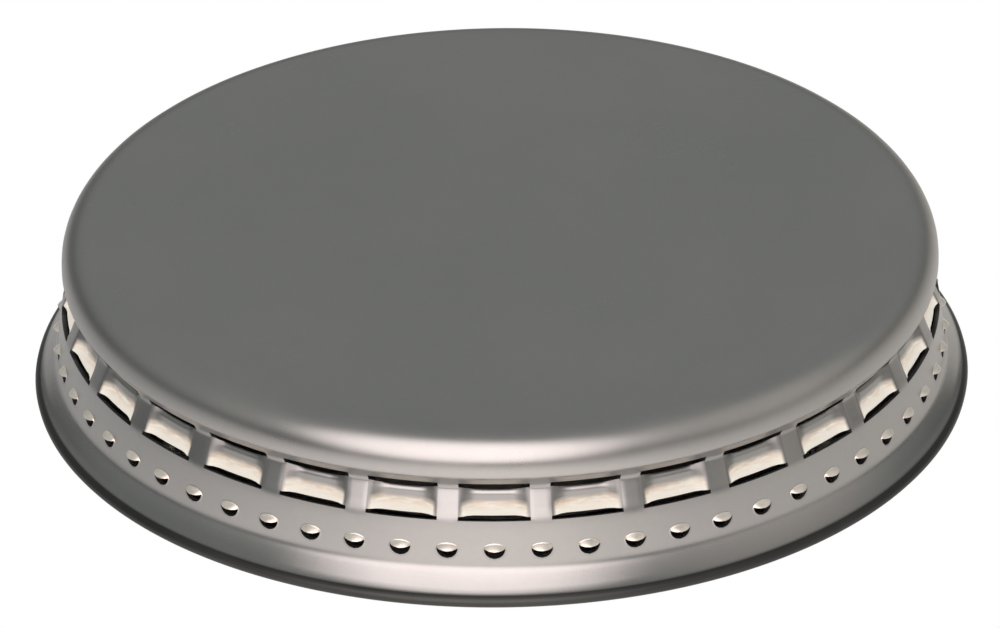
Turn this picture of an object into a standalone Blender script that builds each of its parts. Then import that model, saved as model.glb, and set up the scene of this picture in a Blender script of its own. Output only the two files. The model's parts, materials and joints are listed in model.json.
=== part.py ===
"""Burner assembly: a round pressed-steel burner head with its mixing tube, air shutter and injector.

Sizes are in millimetres and the helpers turn them into metres. The head stands on its rolled rim at
z = 0, with +Z up, and the slot called number 0 faces -Y. Angles are in degrees, anticlockwise from +X.
"""

from math import cos, pi, radians, sin, sqrt

import bmesh
import bpy
from mathutils import Matrix, Vector

MM = 0.001
GAP = 0.3  # clearance between pieces that touch
CUT = 6.0  # length of a cutter that goes right through a sheet

# The head
RIM_RADIUS = 75.0
HEAD_HEIGHT = 27.8
SHEET = 0.8
WALL_RADIUS = 70.2
SHOULDER_RADIUS = 5.7
SKIRT_RADIUS = 71.0  # at the ports, in the middle of a skirt that widens a little downward
SKIRT_FLARE = 0.35
SKIRT_BOTTOM = 5.8
FLARE_START = (1.1, 0.7)  # outside the skirt, and above the rolled rim
HEM_HEIGHT = 3.6
HEM_LIP = 71.6  # inner edge of the sheet folded under the rim
CAP_FACETS = 60
FACETS = 36  # of the middle-sized turned pieces
SMALL_FACETS = 20
HOLE_SIDES = 12
FRONT = -90.0

# The slots: each is a strip pushed in from the floor of a shallow groove, with a slit above and below it
SLOT_COUNT = 30
SLOT_SPAN = 9.3
GROOVE_RADIUS = 68.9
GROOVE_TOP = 20.6
GROOVE_FLOOR = (14.2, 19.0)
GROOVE_BOTTOM = 11.8
WINDOW = (12.7, 19.5)
STRIP = (13.7, 18.0)
STRIP_DEPTH = 1.2
STRIP_FLAT_SPAN = 6.8
STRIP_END_SPAN = 10.3  # over the ends, which run a little way behind the groove's floor
STRIP_END_DEPTH = 0.35

# The ports: small raised collars in the skirt, two for each slot
PORT_COUNT = 60
PORT_HEIGHT = 8.2
PORT_RADIUS = 0.85
COLLAR_RADIUS = 1.65
COLLAR_RISE = 0.8
COLLAR_TIP_WALL = 0.3
PORT_SIDES = 6

# The base pan and what stands on it
PAN_FLANGE_RADIUS = RIM_RADIUS - SHEET - 0.7
PAN_FLANGE_BASE = SHEET + GAP
PAN_FLOOR = 3.0
PAN_STEP = (66.8, 69.2)
WELL_RADIUS = 44.0
SEAT_RADIUS = 38.0
SEAT_BASE = 12.0
SEAT_HOLE = 16.5
GASKET_THICKNESS = 0.5
GASKET_MARGIN = (0.4, 0.7)  # inside the skirt's foot, and inside the pan's flange
TUBE_GASKET_MARGIN = 1.0
DISTRIBUTOR_RADIUS = 50.0
DISTRIBUTOR_FOOT = 4.0
DISTRIBUTOR_CLEARANCE = 0.5  # under the disc
DISTRIBUTOR_SLOTS = 24
DISTRIBUTOR_SLOT = (3.0, 9.0, 22.0)  # width, lowest and highest point
FIXING_RADIUS = 60.0
FIXING_THREAD_RADIUS = 2.1
FIXING_WALL = 1.3
FIXING_FLANGE = (1.4, 1.2)  # reach past the barrel, and thickness
FIXING_HEIGHT = 5.0  # above the pan's floor
FIXING_END = 1.0  # thickness of the closed end
FIXING_ANGLES = (90.0, 210.0, 330.0)
PAN_FACETS = 48

# The mixing tube
THROAT_RADIUS = 11.5
THROAT_HEIGHT = 17.5
BELL_RADIUS = 15.0
OUTLET_RADIUS = 12.8
OUTLET_HEIGHT = 22.0
TUBE_WALL = 0.8
TUBE_FLANGE_RADIUS = 33.5
BELL_DROP = 2.2  # how far the bell mouth hangs below the flange
BELL_CURVE = (1.2, 0.6)  # the point that rounds the bell: outside the throat, and above the flange

# The air box and its shutter
BOX_RADIUS = 23.4
BOX_FLOOR = 5.4
BOX_SCREW_RADIUS = 28.8
BOX_SCREW_ANGLES = (30.0, 150.0, 270.0)
SCREW_RADIUS = 2.0
SCREW_HEAD = (3.5, 2.2)  # radius and height
SCREW_REACH = 3.4  # above the face that its nut stands on
BOX_NUT = (7.0, 2.6)  # across flats, and height
WINDOW_COUNT = 6
WINDOW_RING = (9.8, 19.4)
WINDOW_SPAN = 28.0
LOCK_POSITION = 5  # this window is left out, to make room for the lock screw
SHUTTER_RADIUS = 24.0
SHUTTER_THICKNESS = 1.0
SHUTTER_TRAVEL = 30.0
TAB_ANGLE = 150.0
TAB_REACH = 31.0
TAB_WIDTH = 8.0
TAB_CORNER = 2.0
LOCK_RADIUS = 14.6
LOCK_ANGLE = 315.0
LOCK_SCREW_RADIUS = 1.5
LOCK_SCREW_HEAD = (2.8, 1.8)
LOCK_SCREW_REACH = 2.6
LOCK_SCREW_NUT = (5.5, 2.0)

# The injector holder and the injector
HOLDER_RADIUS = 5.0
HOLDER_BASE = 0.6
HOLDER_HEX = 17.0  # across flats
HOLDER_HEX_HEIGHT = 2.4
HOLDER_TOP = 9.8
HOLDER_CHAMFER = 0.4
INLET_RADIUS = 4.2
INLET_DEPTH = 6.2
INLET_CONE = 1.0  # height of the drill point at the inlet's end
GALLERY_RADIUS = 1.6
INJECTOR_BORE = 2.7
INJECTOR_BORE_DEPTH = 2.4
INJECTOR_SHANK = 2.0  # length that goes into the holder
INJECTOR_HEX = 8.0
INJECTOR_HEX_HEIGHT = 1.6
INJECTOR_NOSE = (2.6, 1.6)  # radius at the hexagon and at the tip
INJECTOR_TIP = 13.6
INJECTOR_PASSAGE = 1.3
ORIFICE_RADIUS = 0.6
ORIFICE_LENGTH = 0.8
SEAL = (4.2, 0.4)  # outer radius and thickness
FRICTION_WASHER = (8.2, 0.3)
FRICTION_DISH = 0.15
BACKING_WASHER = (9.0, 0.6)
LOCK_NUT_HEX = 14.0

UP = (0.0, 0.0, 1.0)
SHUTTER_BASE = BOX_FLOOR - GAP - SHUTTER_THICKNESS
BOX_FLANGE = SEAT_BASE - GASKET_THICKNESS - 2 * GAP - SHEET
TUBE_FLANGE = SEAT_BASE + SHEET + GAP

STEEL = ("pressed_steel", (0.50, 0.48, 0.46, 1.0), 1.0, 0.32)
INNER_STEEL = ("inner_steel", (0.42, 0.41, 0.40, 1.0), 1.0, 0.42)
PLATED = ("zinc_plate", (0.62, 0.62, 0.58, 1.0), 1.0, 0.30)
BRASS = ("brass", (0.74, 0.58, 0.30, 1.0), 1.0, 0.28)
COPPER = ("copper", (0.78, 0.45, 0.32, 1.0), 1.0, 0.35)
GRAPHITE = ("graphite_gasket", (0.09, 0.09, 0.10, 1.0), 0.0, 0.80)


def clear_scene():
    for obj in list(bpy.data.objects):
        bpy.data.objects.remove(obj, do_unlink=True)


def new_collection(name, helper=False):
    group = bpy.data.collections.new(name)
    group.hide_render = helper
    bpy.context.scene.collection.children.link(group)
    return group


def material(name, colour, metallic, roughness):
    found = bpy.data.materials.get(name)
    if found:
        return found
    made = bpy.data.materials.new(name)
    made.use_nodes = True
    shader = made.node_tree.nodes["Principled BSDF"]
    shader.inputs["Base Color"].default_value = colour
    shader.inputs["Metallic"].default_value = metallic
    shader.inputs["Roughness"].default_value = roughness
    return made


def polar(radius, angle, height=0.0):
    """The point at this radius and angle, in millimetres."""
    turn = radians(angle)
    return Vector((radius * cos(turn), radius * sin(turn), height))


def arc(centre, radius, start, end, count):
    """Points of an arc in a plane, the ends included."""
    steps = [start + (end - start) * i / (count - 1) for i in range(count)]
    return [(centre[0] + radius * cos(radians(a)), centre[1] + radius * sin(radians(a))) for a in steps]


def circle(radius, count=FACETS, centre=(0.0, 0.0)):
    return arc(centre, radius, 0.0, 360.0 * (count - 1) / count, count)


def hexagon(across_flats):
    return circle(across_flats / sqrt(3.0), 6)


def mesh_object(name, work, place=(0.0, 0.0, 0.0)):
    mesh = bpy.data.meshes.new(name)
    work.to_mesh(mesh)
    work.free()
    obj = bpy.data.objects.new(name, mesh)
    obj.location = Vector(place) * MM
    return obj


def turned(name, profile, steps, closed=True, start=0.0, place=(0.0, 0.0, 0.0)):
    """A profile of (radius, height) points turned about Z. Its outer side runs from top to bottom."""
    work = bmesh.new()
    turn = Matrix.Rotation(radians(start), 3, "Z")
    verts = [work.verts.new(turn @ Vector((r, 0.0, z)) * MM) for r, z in profile]
    for first, second in zip(verts, verts[1:]):
        work.edges.new((first, second))
    if closed:
        work.edges.new((verts[-1], verts[0]))
    obj = mesh_object(name, work, place)
    screw = obj.modifiers.new("Turn", "SCREW")
    screw.axis = "Z"
    screw.angle = 2 * pi
    screw.steps = steps
    screw.render_steps = steps
    screw.use_merge_vertices = True
    screw.merge_threshold = 0.00001
    screw.use_smooth_shade = True
    return obj


def plate(name, outlines, thickness, place=(0.0, 0.0, 0.0)):
    """A flat piece: the first outline is its edge, and each one inside it is a hole."""
    curve = bpy.data.curves.new(name, "CURVE")
    curve.dimensions = "2D"
    curve.fill_mode = "BOTH"
    curve.extrude = thickness / 2 * MM
    for outline in outlines:
        spline = curve.splines.new("POLY")
        spline.points.add(len(outline) - 1)
        spline.use_cyclic_u = True
        for point, (x, y) in zip(spline.points, outline):
            point.co = (x * MM, y * MM, 0.0, 1.0)
    drawn = bpy.data.objects.new(name, curve)
    bpy.context.scene.collection.objects.link(drawn)
    graph = bpy.context.evaluated_depsgraph_get()
    work = bmesh.new()
    work.from_mesh(bpy.data.meshes.new_from_object(drawn.evaluated_get(graph)))
    bpy.data.objects.remove(drawn)
    bmesh.ops.remove_doubles(work, verts=work.verts, dist=0.000001)
    bmesh.ops.translate(work, verts=work.verts, vec=(0.0, 0.0, thickness / 2 * MM))
    bmesh.ops.recalc_face_normals(work, faces=work.faces)
    return mesh_object(name, work, place)


def rods(name, places, radius, length, sides, tip=None):
    """Cylinders, or cones with a tip radius, each along the outward direction at its own centre."""
    work = bmesh.new()
    for centre, direction in places:
        aim = Vector(direction).to_track_quat("Z", "Y").to_matrix().to_4x4()
        matrix = Matrix.Translation(Vector(centre) * MM) @ aim
        bmesh.ops.create_cone(
            work,
            cap_ends=True,
            segments=sides,
            radius1=radius * MM,
            radius2=(radius if tip is None else tip) * MM,
            depth=length * MM,
            matrix=matrix,
        )
    return mesh_object(name, work)


def boxes(name, places, size):
    """Boxes of one size, each turned to face outward at its own angle: (radius, angle, height)."""
    work = bmesh.new()
    for radius, angle, height in places:
        turn = Matrix.Rotation(radians(angle), 4, "Z")
        scale = Matrix.Diagonal((*[side * MM for side in size], 1.0))
        bmesh.ops.create_cube(
            work, size=1.0, matrix=Matrix.Translation(polar(radius, angle, height) * MM) @ turn @ scale
        )
    return mesh_object(name, work)


def boolean(obj, other, operation):
    helpers.objects.link(other)
    other.hide_render = True
    other.display_type = "WIRE"
    modifier = obj.modifiers.new(f"{operation.title()} {other.name}", "BOOLEAN")
    modifier.operation = operation
    modifier.object = other
    modifier.solver = "EXACT"


def cut(obj, cutter):
    boolean(obj, cutter, "DIFFERENCE")


def join(obj, other):
    boolean(obj, other, "UNION")


def solidify(obj, thickness):
    shell = obj.modifiers.new("Sheet", "SOLIDIFY")
    shell.thickness = thickness * MM
    shell.offset = -1.0
    shell.use_even_offset = True


def finish(obj, finish_of, smooth=True):
    """Puts a piece in the assembly, with its material and shading."""
    obj.data.materials.append(material(*finish_of))
    if smooth:
        obj.data.shade_smooth()
        obj.modifiers.new("Shading", "WEIGHTED_NORMAL")
    assembly.objects.link(obj)
    return obj


def slot_angles():
    return [FRONT + 360.0 * i / SLOT_COUNT for i in range(SLOT_COUNT)]


def port_angles():
    return [FRONT + 360.0 * i / PORT_COUNT for i in range(PORT_COUNT)]


def cap_profile():
    """Outer side of the cap: disc, shoulder, wall, groove, skirt, flare and the rolled rim."""
    shoulder = (WALL_RADIUS - SHOULDER_RADIUS, HEAD_HEIGHT - SHOULDER_RADIUS)
    roll = HEM_HEIGHT / 2
    disc_and_wall = [(0.0, HEAD_HEIGHT), *arc(shoulder, SHOULDER_RADIUS, 90.0, 0.0, 4)]
    groove = [
        (WALL_RADIUS, GROOVE_TOP),
        (GROOVE_RADIUS, GROOVE_FLOOR[1]),
        (GROOVE_RADIUS, GROOVE_FLOOR[0]),
    ]
    skirt = [(SKIRT_RADIUS - SKIRT_FLARE, GROOVE_BOTTOM), (SKIRT_RADIUS + SKIRT_FLARE, SKIRT_BOTTOM)]
    flare = [(SKIRT_RADIUS + FLARE_START[0], HEM_HEIGHT + FLARE_START[1])]
    rolled_rim = arc((RIM_RADIUS - roll, roll), roll, 90.0, -90.0, 5)
    return disc_and_wall + groove + skirt + flare + rolled_rim + [(HEM_LIP, 0.0)]


def strip_outline(angle):
    """Plan of one pushed-in strip: a flat middle, with both ends rising into the groove's floor."""
    half_flat = STRIP_FLAT_SPAN / 2
    half_end = STRIP_END_SPAN / 2
    deep = GROOVE_RADIUS - STRIP_DEPTH
    shallow = GROOVE_RADIUS - STRIP_END_DEPTH
    plan = ((-half_end, shallow), (-half_flat, deep), (0.0, deep), (half_flat, deep), (half_end, shallow))
    outer = [polar(radius, angle + offset).to_2d() for offset, radius in plan]
    inner = [polar(radius - SHEET, angle + offset).to_2d() for offset, radius in reversed(plan)]
    return outer + inner


def make_burner_cap():
    cap = turned("burner_cap", cap_profile(), CAP_FACETS, closed=False, start=180.0 / CAP_FACETS)
    solidify(cap, SHEET)
    window_size = (CUT, 2 * GROOVE_RADIUS * sin(radians(SLOT_SPAN / 2)), WINDOW[1] - WINDOW[0])
    window_middle = sum(WINDOW) / 2
    windows = [(GROOVE_RADIUS, angle, window_middle) for angle in slot_angles()]
    cut(cap, boxes("slot_windows", windows, window_size))
    strips = plate(
        "slot_strips",
        [strip_outline(angle) for angle in slot_angles()],
        STRIP[1] - STRIP[0],
        (0.0, 0.0, STRIP[0]),
    )
    join(cap, strips)
    collar_length = COLLAR_RISE + SHEET / 2
    collar_middle = SKIRT_RADIUS + COLLAR_RISE - collar_length / 2
    collars = [(polar(collar_middle, angle, PORT_HEIGHT), polar(1.0, angle)) for angle in port_angles()]
    collar_tip = PORT_RADIUS + COLLAR_TIP_WALL
    join(cap, rods("port_collars", collars, COLLAR_RADIUS, collar_length, PORT_SIDES, collar_tip))
    holes = [(polar(SKIRT_RADIUS, angle, PORT_HEIGHT), polar(1.0, angle)) for angle in port_angles()]
    cut(cap, rods("port_holes", holes, PORT_RADIUS, CUT, PORT_SIDES))
    return finish(cap, STEEL)


def make_base_pan():
    """Lower shell, drawn along its underside from the rim to the hole for the mixing tube."""
    underside = [
        (SEAT_HOLE, SEAT_BASE),
        (SEAT_RADIUS, SEAT_BASE),
        (WELL_RADIUS, PAN_FLOOR),
        (PAN_STEP[0], PAN_FLOOR),
        (PAN_STEP[1], PAN_FLANGE_BASE),
        (PAN_FLANGE_RADIUS, PAN_FLANGE_BASE),
    ]
    upper_side = [(radius, height + SHEET) for radius, height in underside]
    pan = turned("base_pan", upper_side + underside[::-1], PAN_FACETS)
    box_holes = [(polar(BOX_SCREW_RADIUS, a, SEAT_BASE), UP) for a in BOX_SCREW_ANGLES]
    cut(pan, rods("pan_box_holes", box_holes, SCREW_RADIUS + GAP, CUT, HOLE_SIDES))
    fixing_holes = [(polar(FIXING_RADIUS, a, PAN_FLOOR), UP) for a in FIXING_ANGLES]
    fixing_hole = FIXING_THREAD_RADIUS + FIXING_WALL + GAP
    cut(pan, rods("pan_fixing_holes", fixing_holes, fixing_hole, CUT, HOLE_SIDES))
    return finish(pan, INNER_STEEL)


def make_rim_gasket():
    base = PAN_FLANGE_BASE + SHEET + GAP
    inner, outer = SKIRT_RADIUS - GASKET_MARGIN[0], PAN_FLANGE_RADIUS - GASKET_MARGIN[1]
    edges = [circle(outer, PAN_FACETS), circle(inner, PAN_FACETS)]
    gasket = plate("rim_gasket", edges, GASKET_THICKNESS, (0.0, 0.0, base))
    return finish(gasket, GRAPHITE, smooth=False)


def make_distributor_ring():
    base = PAN_FLOOR + SHEET + GAP
    top = HEAD_HEIGHT - SHEET - DISTRIBUTOR_CLEARANCE
    inner = DISTRIBUTOR_RADIUS
    profile = [
        (inner, top),
        (inner + SHEET, top),
        (inner + SHEET, base + SHEET),
        (inner + DISTRIBUTOR_FOOT, base + SHEET),
        (inner + DISTRIBUTOR_FOOT, base),
        (inner, base),
    ]
    ring = turned("distributor_ring", profile, PAN_FACETS)
    width, lowest, highest = DISTRIBUTOR_SLOT
    angles = [360.0 * (i + 0.5) / DISTRIBUTOR_SLOTS for i in range(DISTRIBUTOR_SLOTS)]
    places = [(inner, angle, (lowest + highest) / 2) for angle in angles]
    cut(ring, boxes("distributor_slots", places, (CUT, width, highest - lowest)))
    return finish(ring, INNER_STEEL)


def make_mixing_tube():
    """Short venturi: a bell mouth that narrows to the throat and widens to the outlet, on a flange."""
    flange_top = TUBE_FLANGE + SHEET
    bell_base = TUBE_FLANGE - BELL_DROP
    bell_middle = (THROAT_RADIUS + BELL_CURVE[0], flange_top + BELL_CURVE[1])
    inside = [(BELL_RADIUS, bell_base), bell_middle, (THROAT_RADIUS, THROAT_HEIGHT)]
    inside.append((OUTLET_RADIUS, OUTLET_HEIGHT))
    outside = [
        (OUTLET_RADIUS + TUBE_WALL, OUTLET_HEIGHT),
        (THROAT_RADIUS + TUBE_WALL, THROAT_HEIGHT),
        (BELL_RADIUS, flange_top),
        (TUBE_FLANGE_RADIUS, flange_top),
        (TUBE_FLANGE_RADIUS, TUBE_FLANGE),
        (BELL_RADIUS + TUBE_WALL, TUBE_FLANGE),
        (BELL_RADIUS + TUBE_WALL, bell_base),
    ]
    tube = turned("mixing_tube", inside + outside, FACETS)
    holes = [(polar(BOX_SCREW_RADIUS, a, TUBE_FLANGE), UP) for a in BOX_SCREW_ANGLES]
    cut(tube, rods("tube_holes", holes, SCREW_RADIUS + GAP, CUT, HOLE_SIDES))
    return finish(tube, INNER_STEEL)


def screw_hole_outlines():
    middles = [polar(BOX_SCREW_RADIUS, angle).to_2d() for angle in BOX_SCREW_ANGLES]
    return [circle(SCREW_RADIUS + GAP, HOLE_SIDES, middle) for middle in middles]


def make_tube_gasket():
    hole = circle(SEAT_HOLE + TUBE_GASKET_MARGIN)
    edges = [circle(TUBE_FLANGE_RADIUS), hole, *screw_hole_outlines()]
    base = SEAT_BASE - GAP - GASKET_THICKNESS
    gasket = plate("tube_gasket", edges, GASKET_THICKNESS, (0.0, 0.0, base))
    return finish(gasket, GRAPHITE, smooth=False)


def window_outline(middle):
    """One air window: a sector of a ring."""
    inner, outer = WINDOW_RING
    half = WINDOW_SPAN / 2
    outside = arc((0.0, 0.0), outer, middle - half, middle + half, 7)
    inside = arc((0.0, 0.0), inner, middle + half, middle - half, 5)
    return outside + inside


def window_outlines():
    positions = [i for i in range(WINDOW_COUNT) if i != LOCK_POSITION]
    return [window_outline(360.0 * i / WINDOW_COUNT) for i in positions]


def make_air_box():
    """Pressed cup that hangs from the pan's seat and carries the injector holder and the shutter."""
    flange_top = BOX_FLANGE + SHEET
    profile = [
        (HOLDER_RADIUS + GAP, BOX_FLOOR + SHEET),
        (BOX_RADIUS - SHEET, BOX_FLOOR + SHEET),
        (BOX_RADIUS - SHEET, flange_top),
        (TUBE_FLANGE_RADIUS, flange_top),
        (TUBE_FLANGE_RADIUS, BOX_FLANGE),
        (BOX_RADIUS, BOX_FLANGE),
        (BOX_RADIUS, BOX_FLOOR),
        (HOLDER_RADIUS + GAP, BOX_FLOOR),
    ]
    box = turned("air_box", profile, FACETS)
    windows_base = BOX_FLOOR + SHEET / 2 - CUT / 2
    cut(box, plate("box_windows", window_outlines(), CUT, (0.0, 0.0, windows_base)))
    screw_holes = [(polar(BOX_SCREW_RADIUS, a, BOX_FLANGE), UP) for a in BOX_SCREW_ANGLES]
    cut(box, rods("box_screw_holes", screw_holes, SCREW_RADIUS + GAP, CUT, HOLE_SIDES))
    lock_hole = [(polar(LOCK_RADIUS, LOCK_ANGLE, BOX_FLOOR), UP)]
    cut(box, rods("box_lock_hole", lock_hole, LOCK_SCREW_RADIUS + GAP, CUT, HOLE_SIDES))
    return finish(box, PLATED)


def shutter_edge():
    """Round edge with a finger tab."""
    half_tab = TAB_WIDTH / 2 / SHUTTER_RADIUS * 180.0 / pi
    rim = arc((0.0, 0.0), SHUTTER_RADIUS, TAB_ANGLE + half_tab, TAB_ANGLE + 360.0 - half_tab, 45)
    along = polar(1.0, TAB_ANGLE).to_2d()
    across = polar(1.0, TAB_ANGLE + 90.0).to_2d()
    half = TAB_WIDTH / 2
    shoulder = TAB_REACH - TAB_CORNER
    flat = half - TAB_CORNER
    plan = ((shoulder, -half), (TAB_REACH, -flat), (TAB_REACH, flat), (shoulder, half))
    return rim + [along * reach + across * side for reach, side in plan]


def lock_slot():
    """Curved slot that lets the shutter turn past the lock screw by its travel."""
    half = LOCK_SCREW_RADIUS + GAP
    last = LOCK_ANGLE
    first = LOCK_ANGLE - SHUTTER_TRAVEL
    outer = arc((0.0, 0.0), LOCK_RADIUS + half, first, last, 7)
    far_end = arc(polar(LOCK_RADIUS, last).to_2d(), half, last, last + 180.0, 7)[1:-1]
    inner = arc((0.0, 0.0), LOCK_RADIUS - half, last, first, 7)
    near_end = arc(polar(LOCK_RADIUS, first).to_2d(), half, first + 180.0, first + 360.0, 7)[1:-1]
    return outer + far_end + inner + near_end


def make_air_shutter():
    outlines = [shutter_edge(), circle(HOLDER_RADIUS + GAP), *window_outlines(), lock_slot()]
    shutter = plate("air_shutter", outlines, SHUTTER_THICKNESS, (0.0, 0.0, SHUTTER_BASE))
    return finish(shutter, PLATED, smooth=False)


def washer(name, inner, outer, thickness, base, look, dish=0.0):
    """Plain or dished washer around the Z axis. A dished one stands higher at its bore."""
    profile = [(inner, thickness + dish), (outer, thickness), (outer, 0.0), (inner, dish)]
    return finish(turned(name, profile, SMALL_FACETS, place=(0.0, 0.0, base)), look)


def make_injector_holder():
    hex_top = HOLDER_BASE + HOLDER_HEX_HEIGHT
    stem_base = hex_top - 1.0
    stem = [
        (0.0, HOLDER_TOP),
        (HOLDER_RADIUS - HOLDER_CHAMFER, HOLDER_TOP),
        (HOLDER_RADIUS, HOLDER_TOP - HOLDER_CHAMFER),
        (HOLDER_RADIUS, stem_base),
        (0.0, stem_base),
    ]
    holder = turned("injector_holder", stem, SMALL_FACETS, closed=False)
    join(holder, plate("holder_hex", [hexagon(HOLDER_HEX)], HOLDER_HEX_HEIGHT, (0.0, 0.0, HOLDER_BASE)))
    below = HOLDER_BASE - 1.0
    above = HOLDER_TOP + 1.0
    bore = [
        (0.0, above),
        (INJECTOR_BORE, above),
        (INJECTOR_BORE, HOLDER_TOP - INJECTOR_BORE_DEPTH),
        (GALLERY_RADIUS, HOLDER_TOP - INJECTOR_BORE_DEPTH),
        (GALLERY_RADIUS, HOLDER_BASE + INLET_DEPTH),
        (INLET_RADIUS, HOLDER_BASE + INLET_DEPTH - INLET_CONE),
        (INLET_RADIUS, below),
        (0.0, below),
    ]
    cut(holder, turned("holder_bore", bore, SMALL_FACETS, closed=False))
    return finish(holder, BRASS)


def make_injector():
    """Jet: a threaded shank, a hexagon and a tapered nose with the orifice in its tip."""
    seat = HOLDER_TOP + GAP + SEAL[1] + GAP
    hex_top = seat + INJECTOR_HEX_HEIGHT
    shank = INJECTOR_BORE - GAP
    foot, tip = INJECTOR_NOSE
    shoulder = seat + INJECTOR_HEX_HEIGHT / 4
    nose = [
        (0.0, INJECTOR_TIP),
        (tip, INJECTOR_TIP),
        (foot, hex_top - INJECTOR_HEX_HEIGHT / 4),
        (foot, shoulder),
        (shank, shoulder),
        (shank, HOLDER_TOP - INJECTOR_SHANK),
        (0.0, HOLDER_TOP - INJECTOR_SHANK),
    ]
    jet = turned("injector", nose, SMALL_FACETS, closed=False)
    join(jet, plate("injector_hex", [hexagon(INJECTOR_HEX)], hex_top - seat, (0.0, 0.0, seat)))
    below = HOLDER_TOP - INJECTOR_SHANK - 1.0
    above = INJECTOR_TIP + 1.0
    bore = [
        (0.0, above),
        (ORIFICE_RADIUS, above),
        (ORIFICE_RADIUS, INJECTOR_TIP - ORIFICE_LENGTH),
        (INJECTOR_PASSAGE, INJECTOR_TIP - 2 * ORIFICE_LENGTH),
        (INJECTOR_PASSAGE, below),
        (0.0, below),
    ]
    cut(jet, turned("injector_bore", bore, SMALL_FACETS, closed=False))
    return finish(jet, BRASS)


def make_screw(name, place, radius, head, length):
    """Slotted round-head screw that points up, with the top of its head at z = 0 in its own frame."""
    head_radius, head_height = head
    tip = radius - GAP
    profile = [
        (0.0, length),
        (tip, length),
        (radius, length - GAP),
        (radius, 0.0),
        (head_radius, 0.0),
        (head_radius, head_height * 0.35 - head_height),
        (head_radius * 0.7, -head_height),
        (0.0, -head_height),
    ]
    screw = turned(name, profile, SMALL_FACETS, closed=False, place=place)
    slot = boxes(f"{name}_slot", [(0.0, 0.0, 0.0)], (3 * head_radius, head_height * 0.3, head_height))
    slot.location = (Vector(place) - Vector((0.0, 0.0, head_height))) * MM
    cut(screw, slot)
    return finish(screw, PLATED)


def make_nut(name, across_flats, hole_radius, height, place):
    outlines = [hexagon(across_flats), circle(hole_radius, SMALL_FACETS)]
    return finish(plate(name, outlines, height, place), PLATED, smooth=False)


def make_box_fasteners():
    head_top = BOX_FLANGE - GAP
    nut_base = TUBE_FLANGE + SHEET + GAP
    length = nut_base + SCREW_REACH - head_top
    across_flats, height = BOX_NUT
    for number, angle in enumerate(BOX_SCREW_ANGLES, 1):
        head_place = polar(BOX_SCREW_RADIUS, angle, head_top)
        nut_place = polar(BOX_SCREW_RADIUS, angle, nut_base)
        make_screw(f"box_screw_{number}", head_place, SCREW_RADIUS, SCREW_HEAD, length)
        make_nut(f"box_nut_{number}", across_flats, SCREW_RADIUS + GAP, height, nut_place)


def make_shutter_lock():
    head_top = SHUTTER_BASE - GAP
    nut_base = BOX_FLOOR + SHEET + GAP
    length = nut_base + LOCK_SCREW_REACH - head_top
    head_place = polar(LOCK_RADIUS, LOCK_ANGLE, head_top)
    nut_place = polar(LOCK_RADIUS, LOCK_ANGLE, nut_base)
    across_flats, height = LOCK_SCREW_NUT
    make_screw("shutter_lock_screw", head_place, LOCK_SCREW_RADIUS, LOCK_SCREW_HEAD, length)
    make_nut("lock_screw_nut", across_flats, LOCK_SCREW_RADIUS + GAP, height, nut_place)


def make_fixing_nuts():
    """Closed inserts: a barrel in the pan's hole, a flange on its inside and a blind thread from below."""
    barrel = FIXING_THREAD_RADIUS + FIXING_WALL
    flange = barrel + FIXING_FLANGE[0]
    flange_base = SHEET + GAP
    flange_top = flange_base + FIXING_FLANGE[1]
    top = flange_base + FIXING_HEIGHT
    profile = [
        (0.0, top),
        (barrel, top),
        (barrel, flange_top),
        (flange, flange_top),
        (flange, flange_base),
        (barrel, flange_base),
        (barrel, 0.0),
        (FIXING_THREAD_RADIUS, 0.0),
        (FIXING_THREAD_RADIUS, top - FIXING_END),
        (0.0, top - FIXING_END),
    ]
    for number, angle in enumerate(FIXING_ANGLES, 1):
        place = polar(FIXING_RADIUS, angle, PAN_FLOOR)
        finish(turned(f"fixing_nut_{number}", profile, SMALL_FACETS, closed=False, place=place), PLATED)


def make_injector_stack():
    """The washers and the nut that clamp the injector holder in the air box, and the injector's seal."""
    bore = HOLDER_RADIUS + GAP
    hex_top = HOLDER_BASE + HOLDER_HEX_HEIGHT
    washer("friction_washer", bore, *FRICTION_WASHER, hex_top + GAP, PLATED, dish=FRICTION_DISH)
    backing_base = BOX_FLOOR + SHEET + GAP
    washer("backing_washer", bore, *BACKING_WASHER, backing_base, PLATED)
    nut_base = backing_base + BACKING_WASHER[1] + GAP
    nut_height = HOLDER_TOP - HOLDER_CHAMFER - nut_base
    make_nut("lock_nut", LOCK_NUT_HEX, bore, nut_height, (0.0, 0.0, nut_base))
    washer("injector_seal", INJECTOR_BORE, *SEAL, HOLDER_TOP + GAP, COPPER)


clear_scene()
assembly = new_collection("burner_assembly")
helpers = new_collection("cutters", helper=True)
make_burner_cap()
make_base_pan()
make_rim_gasket()
make_distributor_ring()
make_mixing_tube()
make_tube_gasket()
make_air_box()
make_air_shutter()
make_injector_holder()
make_injector()
make_injector_stack()
make_box_fasteners()
make_shutter_lock()
make_fixing_nuts()
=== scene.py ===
"""Looks of the burner assembly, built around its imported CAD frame.

Lengths are in millimetres and MM turns them into metres. Angles are in degrees. The head stands on its
rim at z = 0 with +Z up, and the slot that faces -Y is number 0.
"""

import json
from math import atan2, cos, pi, radians, sin

import bmesh
import bpy
from mathutils import Matrix, Vector


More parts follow.
